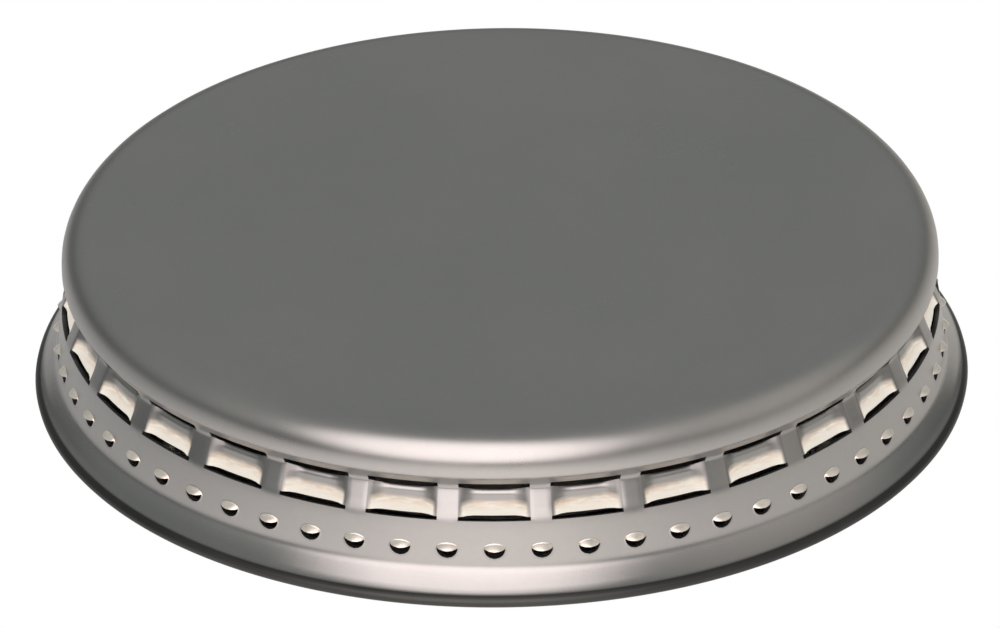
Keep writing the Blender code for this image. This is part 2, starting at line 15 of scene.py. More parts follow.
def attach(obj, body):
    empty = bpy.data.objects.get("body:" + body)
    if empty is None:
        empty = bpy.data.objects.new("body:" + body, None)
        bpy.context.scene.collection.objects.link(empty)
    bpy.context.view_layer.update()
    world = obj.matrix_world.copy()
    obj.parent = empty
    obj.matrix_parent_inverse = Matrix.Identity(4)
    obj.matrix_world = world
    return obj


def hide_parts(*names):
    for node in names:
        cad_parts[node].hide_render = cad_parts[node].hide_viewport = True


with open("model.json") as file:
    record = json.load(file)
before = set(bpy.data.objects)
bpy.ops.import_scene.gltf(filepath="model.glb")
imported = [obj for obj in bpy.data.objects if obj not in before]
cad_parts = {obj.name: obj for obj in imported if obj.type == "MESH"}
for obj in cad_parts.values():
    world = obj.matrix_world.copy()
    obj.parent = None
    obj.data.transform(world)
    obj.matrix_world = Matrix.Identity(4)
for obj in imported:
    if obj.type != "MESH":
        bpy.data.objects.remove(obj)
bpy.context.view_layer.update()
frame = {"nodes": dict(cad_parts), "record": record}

MM = 0.001
DEGREE = pi / 180.0

# ---------------------------------------------------------------- driving dimensions of the head
RIM_RADIUS = 75.0
HEAD_HEIGHT = 27.8
SHEET = 0.8
WALL_RADIUS = 70.2
SHOULDER_RADIUS = 5.7
FRONT = -90.0

SLOT_COUNT = 30
SLOT_PITCH = 360.0 / SLOT_COUNT
SLOT_HALF_SPAN = 4.65
STRIP_HALF_SPAN = 2.8

PORT_COUNT = 60
PORT_PITCH = 360.0 / PORT_COUNT
PORT_HEIGHT = 8.2
PORT_PATCH = 1.66  # half the height of the piece of skirt that a port is formed in
PORT_PATCH_SPAN = 1.7  # half its span, in degrees
PORT_FOOT = (1.90, 8.45, 1.10, 1.72)  # half width, middle, and reach above and below the middle
PORT_MOUTH = (1.72, 8.84, -0.22, 1.82)
PORT_RISE = 0.98  # how far the upper lip stands out
PORT_CORNER_RISE = 0.12
PORT_LOWER_RISE = 0.08
PORT_BULGE = 1.25  # above 1, the hood rises soonest near its edge
PORT_HOLLOW = 0.75  # share of the rise that the sheet's inner side follows
PORT_LEVELS = (-0.2, 0.0, 0.12, 0.3, 0.5, 0.7, 0.88, 1.0)  # steps from just outside the hood to its mouth

GAP = 0.3  # round a screw or a stem in its hole
SEAT_HOLE = 16.5
SEAT_RADIUS = 38.0  # of the raised seat in the base pan
SEAT_BASE = 12.0
PAN_FLOOR = 3.0
PAN_FLOOR_RADII = (44.0, 66.8)
PAN_LIP = 1.1
PAN_LIP_RADII = (69.2, 73.5)
PAN_BEND = 2.0
TUBE_BASE = 10.9
TUBE_TOP = 22.0
TUBE_THROAT = (11.5, 17.5)
TUBE_FLANGE = 13.1
TUBE_FLANGE_RADIUS = 33.5
BOX_FLOOR = 5.4
BOX_FLANGE = 10.1
BOX_RADIUS = 23.4
BOX_BEND = 1.6
WINDOW_COUNT = 5
WINDOW_PITCH = 60.0
WINDOW_RADII = (9.8, 19.4)
WINDOW_HALF_SPAN = 14.0

SHUTTER_BASE = 4.1
SHUTTER_SHEET = 1.0
SHUTTER_EDGE = 0.12
SHUTTER_RADIUS = 24.0
SHUTTER_TRAVEL = 30.0
TAB_REACH = 31.0
TAB_WIDTH = 8.0
TAB_ANGLE = 150.0
TAB_CORNER = 2.2
RIB_REACHES = (26.0, 27.2, 28.4, 29.6)
RIB_SIZE = (0.35, 3.3, 0.28)  # half its length across, along and out of the tab

HOLDER_RADIUS = 5.0
HOLDER_TOP = 9.8
HOLDER_BASE = 0.6
HOLDER_HEX_TOP = 3.0
HOLDER_HEX = 17.0
INLET_RADIUS = 4.0
JET_FOOT = 7.8
JET_SEAT = 10.8
JET_TIP = 13.6
JET_RADIUS = 2.4
JET_HEX = 8.0

WASHER_RADII = (5.3, 8.2)
WASHER_MIDDLE = 3.525
WASHER_WAVE = 0.075
WASHER_WAVES = 3
WASHER_HALF_SHEET = 0.15

# A screw head is (radius, height). A nut is (width across flats, radius of its bore, base, top).
BOX_SCREW_REACH = 28.8
BOX_SCREW_ANGLES = (30.0, 150.0, 270.0)
BOX_SCREW_TOP = 9.8  # upper side of the head
BOX_SCREW_LENGTH = 7.8
BOX_SCREW_HEAD = (3.5, 2.2)
BOX_NUT = (7.0, 2.1, 14.2, 16.8)
SCREW_RADIUS = 2.0
LOCK_REACH = 14.6
LOCK_ANGLE = 315.0
LOCK_SCREW_TOP = 3.8
LOCK_SCREW_LENGTH = 5.3
LOCK_SCREW_HEAD = (2.8, 1.8)
LOCK_SCREW_NUT = (5.5, 1.6, 6.5, 8.5)
LOCK_SCREW_RADIUS = 1.5
LOCK_NUT = (14.0, 5.1, 7.4, 9.4)
FIXING_REACH = 60.0
FIXING_ANGLES = (90.0, 210.0, 330.0)
FIXING_LENGTH = 6.1
FIXING_BARREL = 3.4
FIXING_BORE = 2.1
FIXING_FLANGE = (1.1, 2.3)  # lower and upper side, above the insert's base
FIXING_KNURL = (4.72, 0.08, 30)  # middle radius, height and number of its ridges

SKIRT_TOP = (70.65, 11.8)
SKIRT_FOOT = (71.35, 5.9)


def polar(radius, angle, height=0.0):
    """Point at this angle and distance from the head's axis."""
    turn = radians(angle)
    return Vector((radius * cos(turn), radius * sin(turn), height))


def arc(centre, radius, start, end, count):
    """Points of a circular arc, from one angle to the other, with both ends."""
    steps = [start + (end - start) * i / (count - 1) for i in range(count)]
    return [(centre[0] + radius * cos(radians(a)), centre[1] + radius * sin(radians(a))) for a in steps]


def blend(a, b, t):
    return a + (b - a) * t


def smooth(t):
    t = min(max(t, 0.0), 1.0)
    return t * t * (3.0 - 2.0 * t)


# ---------------------------------------------------------------- materials
WHITE = (1.0, 1.0, 1.0, 1.0)


class Nodes:
    """Short way to write the node tree of a material or a world."""

    def __init__(self, owner):
        owner.use_nodes = True
        self.tree = owner.node_tree
        self.tree.nodes.clear()

    def add(self, kind, values=None, **settings):
        node = self.tree.nodes.new(kind)
        for name, value in settings.items():
            setattr(node, name, value)
        for name, value in (values or {}).items():
            socket = node.inputs[name]
            if isinstance(value, bpy.types.NodeSocket):
                self.tree.links.new(value, socket)
            else:
                socket.default_value = value
        return node

    def place(self):
        return self.add("ShaderNodeTexCoord").outputs["Object"]

    def noise(self, place, scale, detail=3.0, roughness=0.55):
        values = {"Vector": place, "Scale": scale, "Detail": detail, "Roughness": roughness}
        return self.add("ShaderNodeTexNoise", values).outputs["Fac"]

    def stretch(self, place, scale):
        return self.add("ShaderNodeMapping", {"Vector": place, "Scale": scale}).outputs["Vector"]

    def ramp(self, fac, low, high, to_low=0.0, to_high=1.0):
        values = {0: fac, "From Min": low, "From Max": high, "To Min": to_low, "To Max": to_high}
        return self.add("ShaderNodeMapRange", values, clamp=True).outputs[0]

    def fade(self, measure, band, unit=MM):
        """0 to 1 as this measure goes across the band."""
        return self.ramp(measure, band[0] * unit, band[1] * unit)

    def maths(self, operation, first, second=0.0):
        return self.add("ShaderNodeMath", {0: first, 1: second}, operation=operation).outputs[0]

    def mix(self, fac, first, second):
        node = self.add("ShaderNodeMix", data_type="RGBA")
        for index, value in ((0, fac), (6, first), (7, second)):
            if isinstance(value, bpy.types.NodeSocket):
                self.tree.links.new(value, node.inputs[index])
            else:
                node.inputs[index].default_value = value
        return node.outputs[2]

    def layer(self, under, amount, colour, opacity=1.0, rougher=0.0):
        """Another (colour, roughness), with this layer over the first one."""
        below, rough = under
        shown = self.mix(self.maths("MULTIPLY", amount, opacity), below, colour)
        return shown, self.maths("ADD", rough, self.maths("MULTIPLY", amount, rougher))

    def bump(self, height, strength, distance):
        values = {"Height": height, "Strength": strength, "Distance": distance}
        return self.add("ShaderNodeBump", values).outputs["Normal"]

    def ring_coordinates(self):
        """Position as (angle about the axis, radius, height)."""
        split = self.add("ShaderNodeSeparateXYZ", {0: self.place()})
        x, y, z = split.outputs
        squares = self.maths("ADD", self.maths("MULTIPLY", x, x), self.maths("MULTIPLY", y, y))
        return self.maths("ARCTAN2", y, x), self.maths("SQRT", squares), z

    def for_gloss_only(self, glow, share):
        """This glow in reflections, pure white to the camera, and between the two for soft light."""
        path = self.add("ShaderNodeLightPath")
        soft = self.mix(share, glow, WHITE)
        shown = self.mix(path.outputs["Is Glossy Ray"], soft, glow)
        return self.mix(path.outputs["Is Camera Ray"], shown, WHITE)

    def finish(self, values):
        """Ends a material with its shader."""
        shader = self.add("ShaderNodeBsdfPrincipled", values)
        self.add("ShaderNodeOutputMaterial", {"Surface": shader.outputs[0]})


def grey(value, warm=0.0):
    """A grey that is a little redder and less blue by the share in warm."""
    return (value * (1.0 + warm), value, value * (1.0 - warm), 1.0)


# Bands that a look fades in over, from its edge to its full strength, in millimetres or degrees.
FLARE_EDGE = (71.2, 73.2)
HEM_EDGE = (73.8, 74.2)
HEM_TOP = (2.4, 2.0)
GROOVE_FOOT = (13.1, 13.6)
GROOVE_TOP = (19.2, 18.6)
BRIGHT_SIDE = (4.45, 4.05)
BRIGHT_TOP = (16.1, 15.1)
BRIGHT_FOOT = (13.55, 13.70)
WARM_TOP = (15.2, 14.2)
CORNER_INSIDE = (2.5, 3.3)
CORNER_OUTSIDE = (4.7, 4.6)

STEEL = ((0.435, 0.435, 0.430, 1.0), (0.475, 0.470, 0.462, 1.0))
# Painted shade: the hem's outer face is made nearly black, standing in for the shadow under the rim that it
# reflects.
HEM_SHADE = ((0.058, 0.060, 0.058, 1.0), (0.080, 0.082, 0.080, 1.0))
SPECK = (0.30, 0.29, 0.28, 1.0)
# Painted shade: the flare is darkened so that its sides reflect dimly.
FLARE_SHADE = (0.22, 0.225, 0.22, 1.0)
# Painted shade: the band that the slots are in is darkened as shade in the recess.
GROOVE_SHADE = (0.24, 0.25, 0.25, 1.0)
# Painted shade: the ends of each strip, where it slopes back out to the land, are darkened and rougher, to
# dull the light they catch.
STRIP_END_SHADE = (0.10, 0.10, 0.095, 1.0)
STRIP_HIGHLIGHT_TINTS = ((0.80, 0.62, 0.47, 1.0), (1.0, 0.93, 0.80, 1.0))  # upper and lower part of the painted highlight on the strips
STRIP_HIGHLIGHT_STREAK = (1.0, 0.95, 0.86, 1.0)
MIDDLING = (0.3, 0.7)  # the part of a noise that a pattern is drawn from


def skirt_bands(nodes, radius, height):
    """How much a place belongs to the flare, to its folded hem and to the groove that the slots are in, the
    places that get painted shade.
    """
    flare = nodes.fade(radius, FLARE_EDGE)
    hem = nodes.maths("MULTIPLY", nodes.fade(radius, HEM_EDGE), nodes.fade(height, HEM_TOP))
    groove = nodes.maths("MULTIPLY", nodes.fade(height, GROOVE_FOOT), nodes.fade(height, GROOVE_TOP))
    return flare, hem, groove


def strip_parts(nodes, angle, height, groove):
    """How much a place belongs to the painted highlight on the lower half of a strip, and to the painted
    shade on its upper ends.
    """
    whole_turns = 4 * pi  # keeps the angle above zero
    turn = nodes.maths("ADD", angle, pi / 2 + whole_turns + radians(SLOT_PITCH / 2))
    side = nodes.maths("MODULO", turn, radians(SLOT_PITCH))
    side = nodes.maths("ABSOLUTE", nodes.maths("SUBTRACT", side, radians(SLOT_PITCH / 2)))
    # painted highlight on the lower half of each strip
    strip_highlight = nodes.maths("MULTIPLY", nodes.fade(side, BRIGHT_SIDE, DEGREE), nodes.fade(height, BRIGHT_TOP))
    strip_highlight = nodes.maths("MULTIPLY", strip_highlight, nodes.fade(height, BRIGHT_FOOT))
    # painted shade on the ends of each strip, within the groove
    corner = nodes.fade(side, CORNER_INSIDE, DEGREE)
    corner = nodes.maths("MULTIPLY", corner, nodes.fade(side, CORNER_OUTSIDE, DEGREE))
    return strip_highlight, nodes.maths("MULTIPLY", corner, groove)


# Painted highlight on the strips: peach higher up and cream lower down, with fine streaks.
def strip_highlight_colour(nodes, place, height):
    streak = nodes.noise(nodes.stretch(place, (1.0, 1.0, 6.0)), 420.0, 3.0, 0.6)
    warm = nodes.mix(nodes.fade(height, WARM_TOP), *STRIP_HIGHLIGHT_TINTS)
    return nodes.mix(nodes.ramp(streak, 0.35, 0.7), warm, STRIP_HIGHLIGHT_STREAK)


def pressed_steel():
    """Sheet of the cap: satin grey, with painted shade on the flare, the hem, the groove and the strip
    ends, and a painted cream highlight on the strips.
    """
    material = bpy.data.materials.new("cap_steel")
    nodes = Nodes(material)
    place = nodes.place()
    angle, radius, height = nodes.ring_coordinates()
    flare, hem, groove = skirt_bands(nodes, radius, height)
    strip_highlight, corner = strip_parts(nodes, angle, height, groove)
    cloud = nodes.ramp(nodes.noise(place, 28.0, 4.0, 0.6), *MIDDLING)
    speck = nodes.ramp(nodes.noise(place, 900.0, 3.0, 0.65), 0.42, 0.70)
    patchy = nodes.ramp(nodes.noise(place, 60.0, 3.0), *MIDDLING, 0.27, 0.33)
    look = (nodes.mix(cloud, *STEEL), patchy)
    look = nodes.layer(look, speck, SPECK, opacity=0.07)
    # painted shade on the flare, which is also a little less rough
    look = nodes.layer(look, flare, FLARE_SHADE, opacity=0.4, rougher=-0.08)
    # painted shade on the outer face of the hem
    look = nodes.layer(look, hem, nodes.mix(cloud, *HEM_SHADE), rougher=0.22)
    # painted shade in the band of the slots
    look = nodes.layer(look, groove, GROOVE_SHADE, opacity=0.28)
    # painted shade on the ends of the strips
    look = nodes.layer(look, corner, STRIP_END_SHADE, opacity=0.35, rougher=0.15)
    # painted highlight on the lower halves of the strips
    look = nodes.layer(look, strip_highlight, strip_highlight_colour(nodes, place, height), rougher=0.2)
    # the painted highlight is not metallic, so it stays bright all round the head
    metallic = nodes.maths("SUBTRACT", 1.0, strip_highlight)
    normal = nodes.bump(nodes.noise(place, 2600.0, 2.0, 0.6), 0.10, 0.00004)
    nodes.finish({"Base Color": look[0], "Metallic": metallic, "Roughness": look[1], "Normal": normal})
    return material


def lip_highlight():
    """Upper side of the port hoods, painted lighter and warmer as a painted highlight."""
    material = bpy.data.materials.new("port_lip_highlight")
    nodes = Nodes(material)
    streak = nodes.noise(nodes.stretch(nodes.place(), (1.0, 1.0, 5.0)), 500.0, 3.0, 0.6)
    colour = nodes.mix(nodes.ramp(streak, *MIDDLING), (0.78, 0.72, 0.64, 1.0), (0.95, 0.88, 0.79, 1.0))
    rough = nodes.ramp(streak, *MIDDLING, 0.28, 0.38)
    normal = nodes.bump(streak, 0.10, 0.00004)
    nodes.finish({"Base Color": colour, "Metallic": 0.7, "Roughness": rough, "Normal": normal})
    return material


def metal(name, low, high, roughness):
    """Bare or plated metal, clouded between two colours, with darker specks."""
    material = bpy.data.materials.new(name)
    nodes = Nodes(material)
    place = nodes.place()
    dark = tuple(channel * 0.5 for channel in low[:3]) + (1.0,)
    cloud = nodes.ramp(nodes.noise(place, 55.0, 4.0, 0.6), *MIDDLING)
    speck = nodes.ramp(nodes.noise(place, 700.0, 3.0, 0.65), 0.55, 0.75)
    colour = nodes.mix(nodes.maths("MULTIPLY", speck, 0.25), nodes.mix(cloud, low, high), dark)
    rough = nodes.ramp(nodes.noise(place, 90.0, 3.0), *MIDDLING, roughness - 0.05, roughness + 0.07)
    normal = nodes.bump(nodes.noise(place, 1800.0, 2.0), 0.12, 0.00005)
    nodes.finish({"Base Color": colour, "Metallic": 1.0, "Roughness": rough, "Normal": normal})
    return material


def graphite():
    """Soft dark gasket sheet, flecked all over."""
    material = bpy.data.materials.new("graphite")
    nodes = Nodes(material)
    place = nodes.place()
    fleck = nodes.noise(place, 900.0, 4.0, 0.7)
    colour = nodes.mix(nodes.ramp(fleck, 0.4, 0.7), (0.045, 0.045, 0.048, 1.0), (0.12, 0.12, 0.125, 1.0))
    normal = nodes.bump(fleck, 0.3, 0.0001)
    rough = nodes.ramp(fleck, *MIDDLING, 0.65, 0.85)
    nodes.finish({"Base Color": colour, "Metallic": 0.1, "Roughness": rough, "Normal": normal})
    return material


# ---------------------------------------------------------------- the cap
def skirt_radius(height):
    t = (SKIRT_TOP[1] - height) / (SKIRT_TOP[1] - SKIRT_FOOT[1])
    return blend(SKIRT_TOP[0], SKIRT_FOOT[0], t)


def cap_rows():
    """Outer side of the cap, from the disc's middle to the inner edge of the hem.

    Each row is (land, strip, mark): its place between the slots, its place in a slot, and what it bounds.
    """
    shoulder = (WALL_RADIUS - SHOULDER_RADIUS, HEAD_HEIGHT - SHOULDER_RADIUS)
    rows = [((r, HEAD_HEIGHT), None, "") for r in (14.0, 30.0, 44.0, 54.0, 61.0)]
    rows += [(point, None, "") for point in arc(shoulder, SHOULDER_RADIUS, 90.0, 0.0, 11)]
    rows += [(point, None, "") for point in ((WALL_RADIUS, 21.2), (70.1, 20.75), (69.75, 20.3))]
    rows += [
        ((68.95, 19.15), (68.95, 19.15), "slit top"),
        ((68.48, 18.20), (67.59, 17.52), "strip top"),
        ((68.60, 17.80), (67.80, 17.36), ""),
        ((68.75, 17.40), (67.96, 17.15), ""),
        ((68.91, 17.00), (68.06, 16.91), ""),
        ((69.05, 16.65), (68.09, 16.65), ""),
        ((69.23, 16.20), (68.10, 16.20), ""),
        ((69.40, 15.80), (68.14, 15.78), ""),
        ((69.57, 15.35), (68.28, 15.30), ""),
        ((69.74, 14.95), (68.50, 14.88), ""),
        ((69.91, 14.55), (68.82, 14.48), ""),
        ((70.08, 14.15), (69.20, 14.12), ""),
        ((70.20, 13.85), (69.52, 13.86), "strip bottom"),
        ((70.42, 13.28), (70.42, 13.28), "slit bottom"),
    ]
    rows += [(point, None, "") for point in ((70.54, 12.6), SKIRT_TOP, (skirt_radius(10.8), 10.8))]
    for step in range(5):
        height = PORT_HEIGHT + PORT_PATCH * (1.0 - step / 2.0)
        mark = {0: "port top", 4: "port bottom"}.get(step, "port")
        rows.append(((skirt_radius(height), height), None, mark))
    flare = [(skirt_radius(6.0), 6.0), (71.50, 5.35), (71.72, 4.95), (72.02, 4.55)]
    flare += [(72.60, 3.83), (73.25, 3.02), (73.90, 2.22)]
    hem = [(74.25, 1.98), (74.62, 1.72), (74.90, 1.38), (RIM_RADIUS, 0.98), (74.92, 0.56)]
    hem += [(74.64, 0.22), (74.2, 0.04), (73.4, 0.0), (71.6, 0.0)]
    rows += [(point, None, "") for point in flare + hem]
    return rows


# Columns of the cap's mesh, in degrees from a slot's middle. The last three cross the port beside the slot.
HALF_SLOT = (0.675, 1.35, PORT_PATCH_SPAN, 2.6, 3.45, 3.90, PORT_PITCH - PORT_PATCH_SPAN, SLOT_HALF_SPAN)
UNIT_OFFSETS = (*(-side for side in reversed(HALF_SLOT)), 0.0, *HALF_SLOT, 5.325, PORT_PITCH, 6.675)
PORT_COLUMNS = 3  # on each side of the port's middle column
SLACK = 0.01  # degrees, so that a column on a border falls on one side of it
OUTER_SIDE, LIP_SIDE, INNER_SIDE = range(3)  # materials of the cap


def profile_normal(points, index):
    """Outward normal of the profile at one of its points, in (radius, height)."""
    before = points[max(index - 1, 0)]
    after = points[min(index + 1, len(points) - 1)]
    along = Vector((after[0] - before[0], after[1] - before[1])).normalized()
    return Vector((-along.y, along.x))


def slot_depth(offset):
    """How far the sheet is pushed in at this angle from a slot's middle, from 0 to 1."""
    return smooth((SLOT_HALF_SPAN - abs(offset)) / (SLOT_HALF_SPAN - STRIP_HALF_SPAN))


def in_slot(offset):
    return -SLOT_HALF_SPAN - SLACK < offset < SLOT_HALF_SPAN - SLACK


def in_port(offset):
    side = min((offset, offset - PORT_PITCH, offset + PORT_PITCH), key=lambda o: abs(o + SLACK))
    return -PORT_PATCH_SPAN - SLACK < side < PORT_PATCH_SPAN - SLACK


class Cap:
    """The pressed sheet, collected as points on its outer and inner side and the faces between them."""

    def __init__(self):
        self.rows = cap_rows()
        self.land = [row[0] for row in self.rows]
        self.strip = [row[1] or row[0] for row in self.rows]
        self.mark = {row[2]: index for index, row in enumerate(self.rows) if row[2] not in ("", "port")}
        self.columns = [(unit, offset) for unit in range(SLOT_COUNT) for offset in UNIT_OFFSETS]
        self.outer = []
        self.inner = []
        self.faces = []
        self.add_point(Vector((0.0, 0.0, HEAD_HEIGHT)), Vector((0.0, 0.0, HEAD_HEIGHT - SHEET)))
        self.grid = [self.grid_row(index) for index in range(len(self.rows))]
        self.add_grid_faces()
        for column, (_, offset) in enumerate(self.columns):
            if offset in (0.0, PORT_PITCH):
                self.add_port(column)

    def add_point(self, outer, inner):
        self.outer.append(outer)
        self.inner.append(inner)
        return len(self.outer) - 1

    def angle(self, column):
        unit, offset = self.columns[column]
        return FRONT + unit * SLOT_PITCH + offset

    def wrap(self, column):
        return column % len(self.columns)

    def grid_row(self, index):
        """Points of one row, all the way round."""
        line = []
        for column, (_, offset) in enumerate(self.columns):
            deep = slot_depth(offset) if self.rows[index][1] else 0.0
            radius, height = (blend(a, b, deep) for a, b in zip(self.land[index], self.strip[index]))
            normal = self.normal(index, deep)
            angle = self.angle(column)
            inner = polar(radius - normal[0] * SHEET, angle, height - normal[1] * SHEET)
            line.append(self.add_point(polar(radius, angle, height), inner))
        return line

    def normal(self, index, deep):
        """Outward normal of the sheet in this row, pushed in this deep."""
        normal = profile_normal(self.land, index)
        first, last = self.mark["strip top"], self.mark["strip bottom"]
        if deep > 0.0 and first <= index <= last:
            pushed = profile_normal(self.strip[first : last + 1], index - first)
            normal = normal.lerp(pushed, deep).normalized()
        return normal

    def add_grid_faces(self):
        """Faces of the grid, apart from the slits over and under each strip and the ports' patches."""
        grid, mark = self.grid, self.mark
        slits = (mark["slit top"], mark["strip bottom"])
        centre = 0
        for column in range(len(self.columns)):
            corners = (centre, grid[0][column], grid[0][self.wrap(column + 1)])
            self.faces.append((corners, OUTER_SIDE))
        for index, (row, below) in enumerate(zip(grid, grid[1:])):
            for column, (_, offset) in enumerate(self.columns):
                if index in slits and in_slot(offset):
                    continue
                if mark["port top"] <= index < mark["port bottom"] and in_port(offset):
                    continue
                after = self.wrap(column + 1)
                self.faces.append(((row[column], below[column], below[after], row[after]), OUTER_SIDE))

    def patch_border(self):
        """Points round a port's patch, as (row, column from the port's middle)."""
        top, bottom, edge = self.mark["port top"], self.mark["port bottom"], PORT_COLUMNS
        border = [(top, side) for side in range(-edge, edge)] + [(row, edge) for row in range(top, bottom)]
        border += [(bottom, side) for side in range(edge, -edge, -1)]
        return border + [(row, -edge) for row in range(bottom, top, -1)]

    def add_port(self, column):
        """Rings of points from the patch's border to the hooded mouth."""
        half_pitch = SLOT_PITCH / 2
        ring = []
        turns = []
        for row, side in self.patch_border():
            place = self.wrap(column + side)
            away = self.columns[place][1] - self.columns[column][1]
            away = (away + half_pitch) % SLOT_PITCH - half_pitch
            ring.append(self.grid[row][place])
            turns.append(atan2(self.land[row][1] - PORT_HEIGHT, radians(away) * SKIRT_FOOT[0]))
        for level in PORT_LEVELS:
            after = [self.port_point(self.angle(column), turn, level) for turn in turns]
            for i in range(len(ring)):
                j = (i + 1) % len(ring)
                # faces on the upper side of a hood get the lip material, a painted highlight
                upper = sin(turns[i]) + sin(turns[j]) > -0.1 and level > 0.05
                side = LIP_SIDE if upper else OUTER_SIDE
                self.faces.append(((ring[i], after[i], after[j], ring[j]), side))
            ring = after

    def port_point(self, angle, turn, level):
        """Point of a port in this direction from its middle, at this step toward its mouth."""
        width, middle, above, below = (blend(a, b, level) for a, b in zip(PORT_FOOT, PORT_MOUTH))
        upper = sin(turn) > 0.0
        height = middle + (above if upper else below) * sin(turn)
        lip = blend(PORT_CORNER_RISE, PORT_RISE if upper else PORT_LOWER_RISE, sin(turn) ** 2)
        rise = lip * (1.0 - (1.0 - max(level, 0.0)) ** PORT_BULGE)
        spot = angle + width * cos(turn) / SKIRT_FOOT[0] * 180.0 / pi
        skirt = skirt_radius(height)
        hollow = skirt - SHEET + PORT_HOLLOW * rise
        return self.add_point(polar(skirt + rise, spot, height), polar(hollow, spot, height))

    def mesh(self):
        """Both sides of the sheet, closed along every open edge."""
        work = bmesh.new()
        shift = len(self.outer)
        verts = [work.verts.new(point * MM) for point in self.outer + self.inner]
        for corners, side in self.faces:
            work.faces.new([verts[i] for i in corners]).material_index = side
        borders = [edge for edge in work.edges if edge.is_boundary]
        for corners, _ in self.faces:
            work.faces.new([verts[i + shift] for i in reversed(corners)]).material_index = INNER_SIDE
        work.verts.index_update()
        for edge in borders:
            a, b = (vert.index for vert in edge.verts)
            order = [vert.index for vert in edge.link_faces[0].verts]
            if order[(order.index(a) + 1) % len(order)] != b:
                a, b = b, a
            wall = work.faces.new((verts[b], verts[a], verts[a + shift], verts[b + shift]))
            wall.material_index = INNER_SIDE
        for face in work.faces:
            face.smooth = True
        bmesh.ops.recalc_face_normals(work, faces=work.faces)
        mesh = bpy.data.meshes.new("cap")
        work.to_mesh(mesh)
        work.free()
        mesh.set_sharp_from_angle(angle=radians(50.0))
        return mesh


def make_cap():
    cap = bpy.data.objects.new("cap_shell", Cap().mesh())
    bpy.context.scene.collection.objects.link(cap)
    steel = pressed_steel()
    # Painted shade: the inner side of the sheet and the cut edges of its slits and ports are a much darker
    # steel than the outside.
    inside = metal("cap_inside_shade", grey(0.16), grey(0.22), 0.5)
    for material in (steel, lip_highlight(), inside):
        cap.data.materials.append(material)
    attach(cap, "head")
    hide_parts("burner_cap")


# ---------------------------------------------------------------- pieces under the cap
WELD = 0.000001  # metres: points closer than this become one


def rounded(points, radius, closed=False, steps=4):
    """The same outline with its corners rounded by up to this radius."""
    made = []
    count = len(points)
    for i, corner in enumerate(points):
        if not closed and i in (0, count - 1):
            made.append(tuple(corner))
            continue
        here = Vector(corner)
        before = Vector(points[i - 1]) - here
        after = Vector(points[(i + 1) % count]) - here
        reach = min(radius, 0.45 * before.length, 0.45 * after.length)
        start = here + before.normalized() * reach
        end = here + after.normalized() * reach
        for step in range(steps + 1):
            t = step / steps
            made.append(tuple(start.lerp(here, t).lerp(here.lerp(end, t), t)))
    return made


def sheet_profile(points, radius):
    """Closed profile of a pressed sheet: one side with its bends, then its other side."""
    side = rounded(points, radius)
    other = []
    for i, point in enumerate(side):
        along = (Vector(side[min(i + 1, len(side) - 1)]) - Vector(side[max(i - 1, 0)])).normalized()
        other.append((point[0] - along.y * SHEET, point[1] + along.x * SHEET))
    return side + other[::-1]


def revolve(name, profile, steps, place=(0.0, 0.0, 0.0)):
    """A closed profile of (radius, height), or a function that gives one for an angle, turned about Z."""
    work = bmesh.new()
    rings = []
    for step in range(steps):
        angle = 360.0 * step / steps
        outline = profile(angle) if callable(profile) else profile
        rings.append([work.verts.new((polar(r, angle, z) + Vector(place)) * MM) for r, z in outline])
    for ring, after in zip(rings, rings[1:] + rings[:1]):
        for i in range(len(ring)):
            j = (i + 1) % len(ring)
            work.faces.new((ring[i], after[i], after[j], ring[j]))
    bmesh.ops.remove_doubles(work, verts=work.verts, dist=WELD)
    bmesh.ops.recalc_face_normals(work, faces=work.faces)
    return linked(name, work)


def linked(name, work):
    """New object in the scene with the mesh of this work."""
    mesh = bpy.data.meshes.new(name)
    work.to_mesh(mesh)
    work.free()
    obj = bpy.data.objects.new(name, mesh)
    bpy.context.scene.collection.objects.link(obj)
    return obj


def flat_plate(name, outlines, base, top, edge=0.0):
    """Flat pieces between two heights, with their edges rounded. An outline inside another is a hole."""
    curve = bpy.data.curves.new(name, "CURVE")
    curve.dimensions = "2D"
    curve.fill_mode = "BOTH"
    curve.extrude = ((top - base) / 2 - edge) * MM
    curve.bevel_depth = edge * MM
    curve.bevel_resolution = 2
    curve.offset = -edge * MM
    for outline in outlines:
        spline = curve.splines.new("POLY")
        spline.points.add(len(outline) - 1)
        spline.use_cyclic_u = True
        for point, (x, y) in zip(spline.points, outline):
            point.co = (x * MM, y * MM, 0.0, 1.0)
    drawn = bpy.data.objects.new(name + "_drawn", curve)
    bpy.context.scene.collection.objects.link(drawn)
    graph = bpy.context.evaluated_depsgraph_get()
    work = bmesh.new()
    work.from_mesh(bpy.data.meshes.new_from_object(drawn.evaluated_get(graph)))
    bpy.data.objects.remove(drawn)
    bmesh.ops.remove_doubles(work, verts=work.verts, dist=WELD)
    bmesh.ops.translate(work, verts=work.verts, vec=(0.0, 0.0, (base + top) / 2 * MM))
    bmesh.ops.recalc_face_normals(work, faces=work.faces)
    return linked(name, work)


def circle(radius, count=32, centre=(0.0, 0.0)):
    return arc(centre, radius, 0.0, 360.0 * (count - 1) / count, count)


def nut_profile(across_flats, bore, base, top):
    """Outline of a hexagon with turned-off corners, at each angle."""
    half = across_flats / 2
    flat = half * 0.96
    edge = 0.2

    def at(angle):
        corner = half / cos(radians(angle % 60.0 - 30.0))
        drop = (corner - flat) * 0.55
        upper = [(bore, top - edge), (bore + edge, top), (flat, top), (corner, top - drop)]
        lower = [(corner, base + drop), (flat, base), (bore + edge, base), (bore, base + edge)]
        return upper + lower

    return at


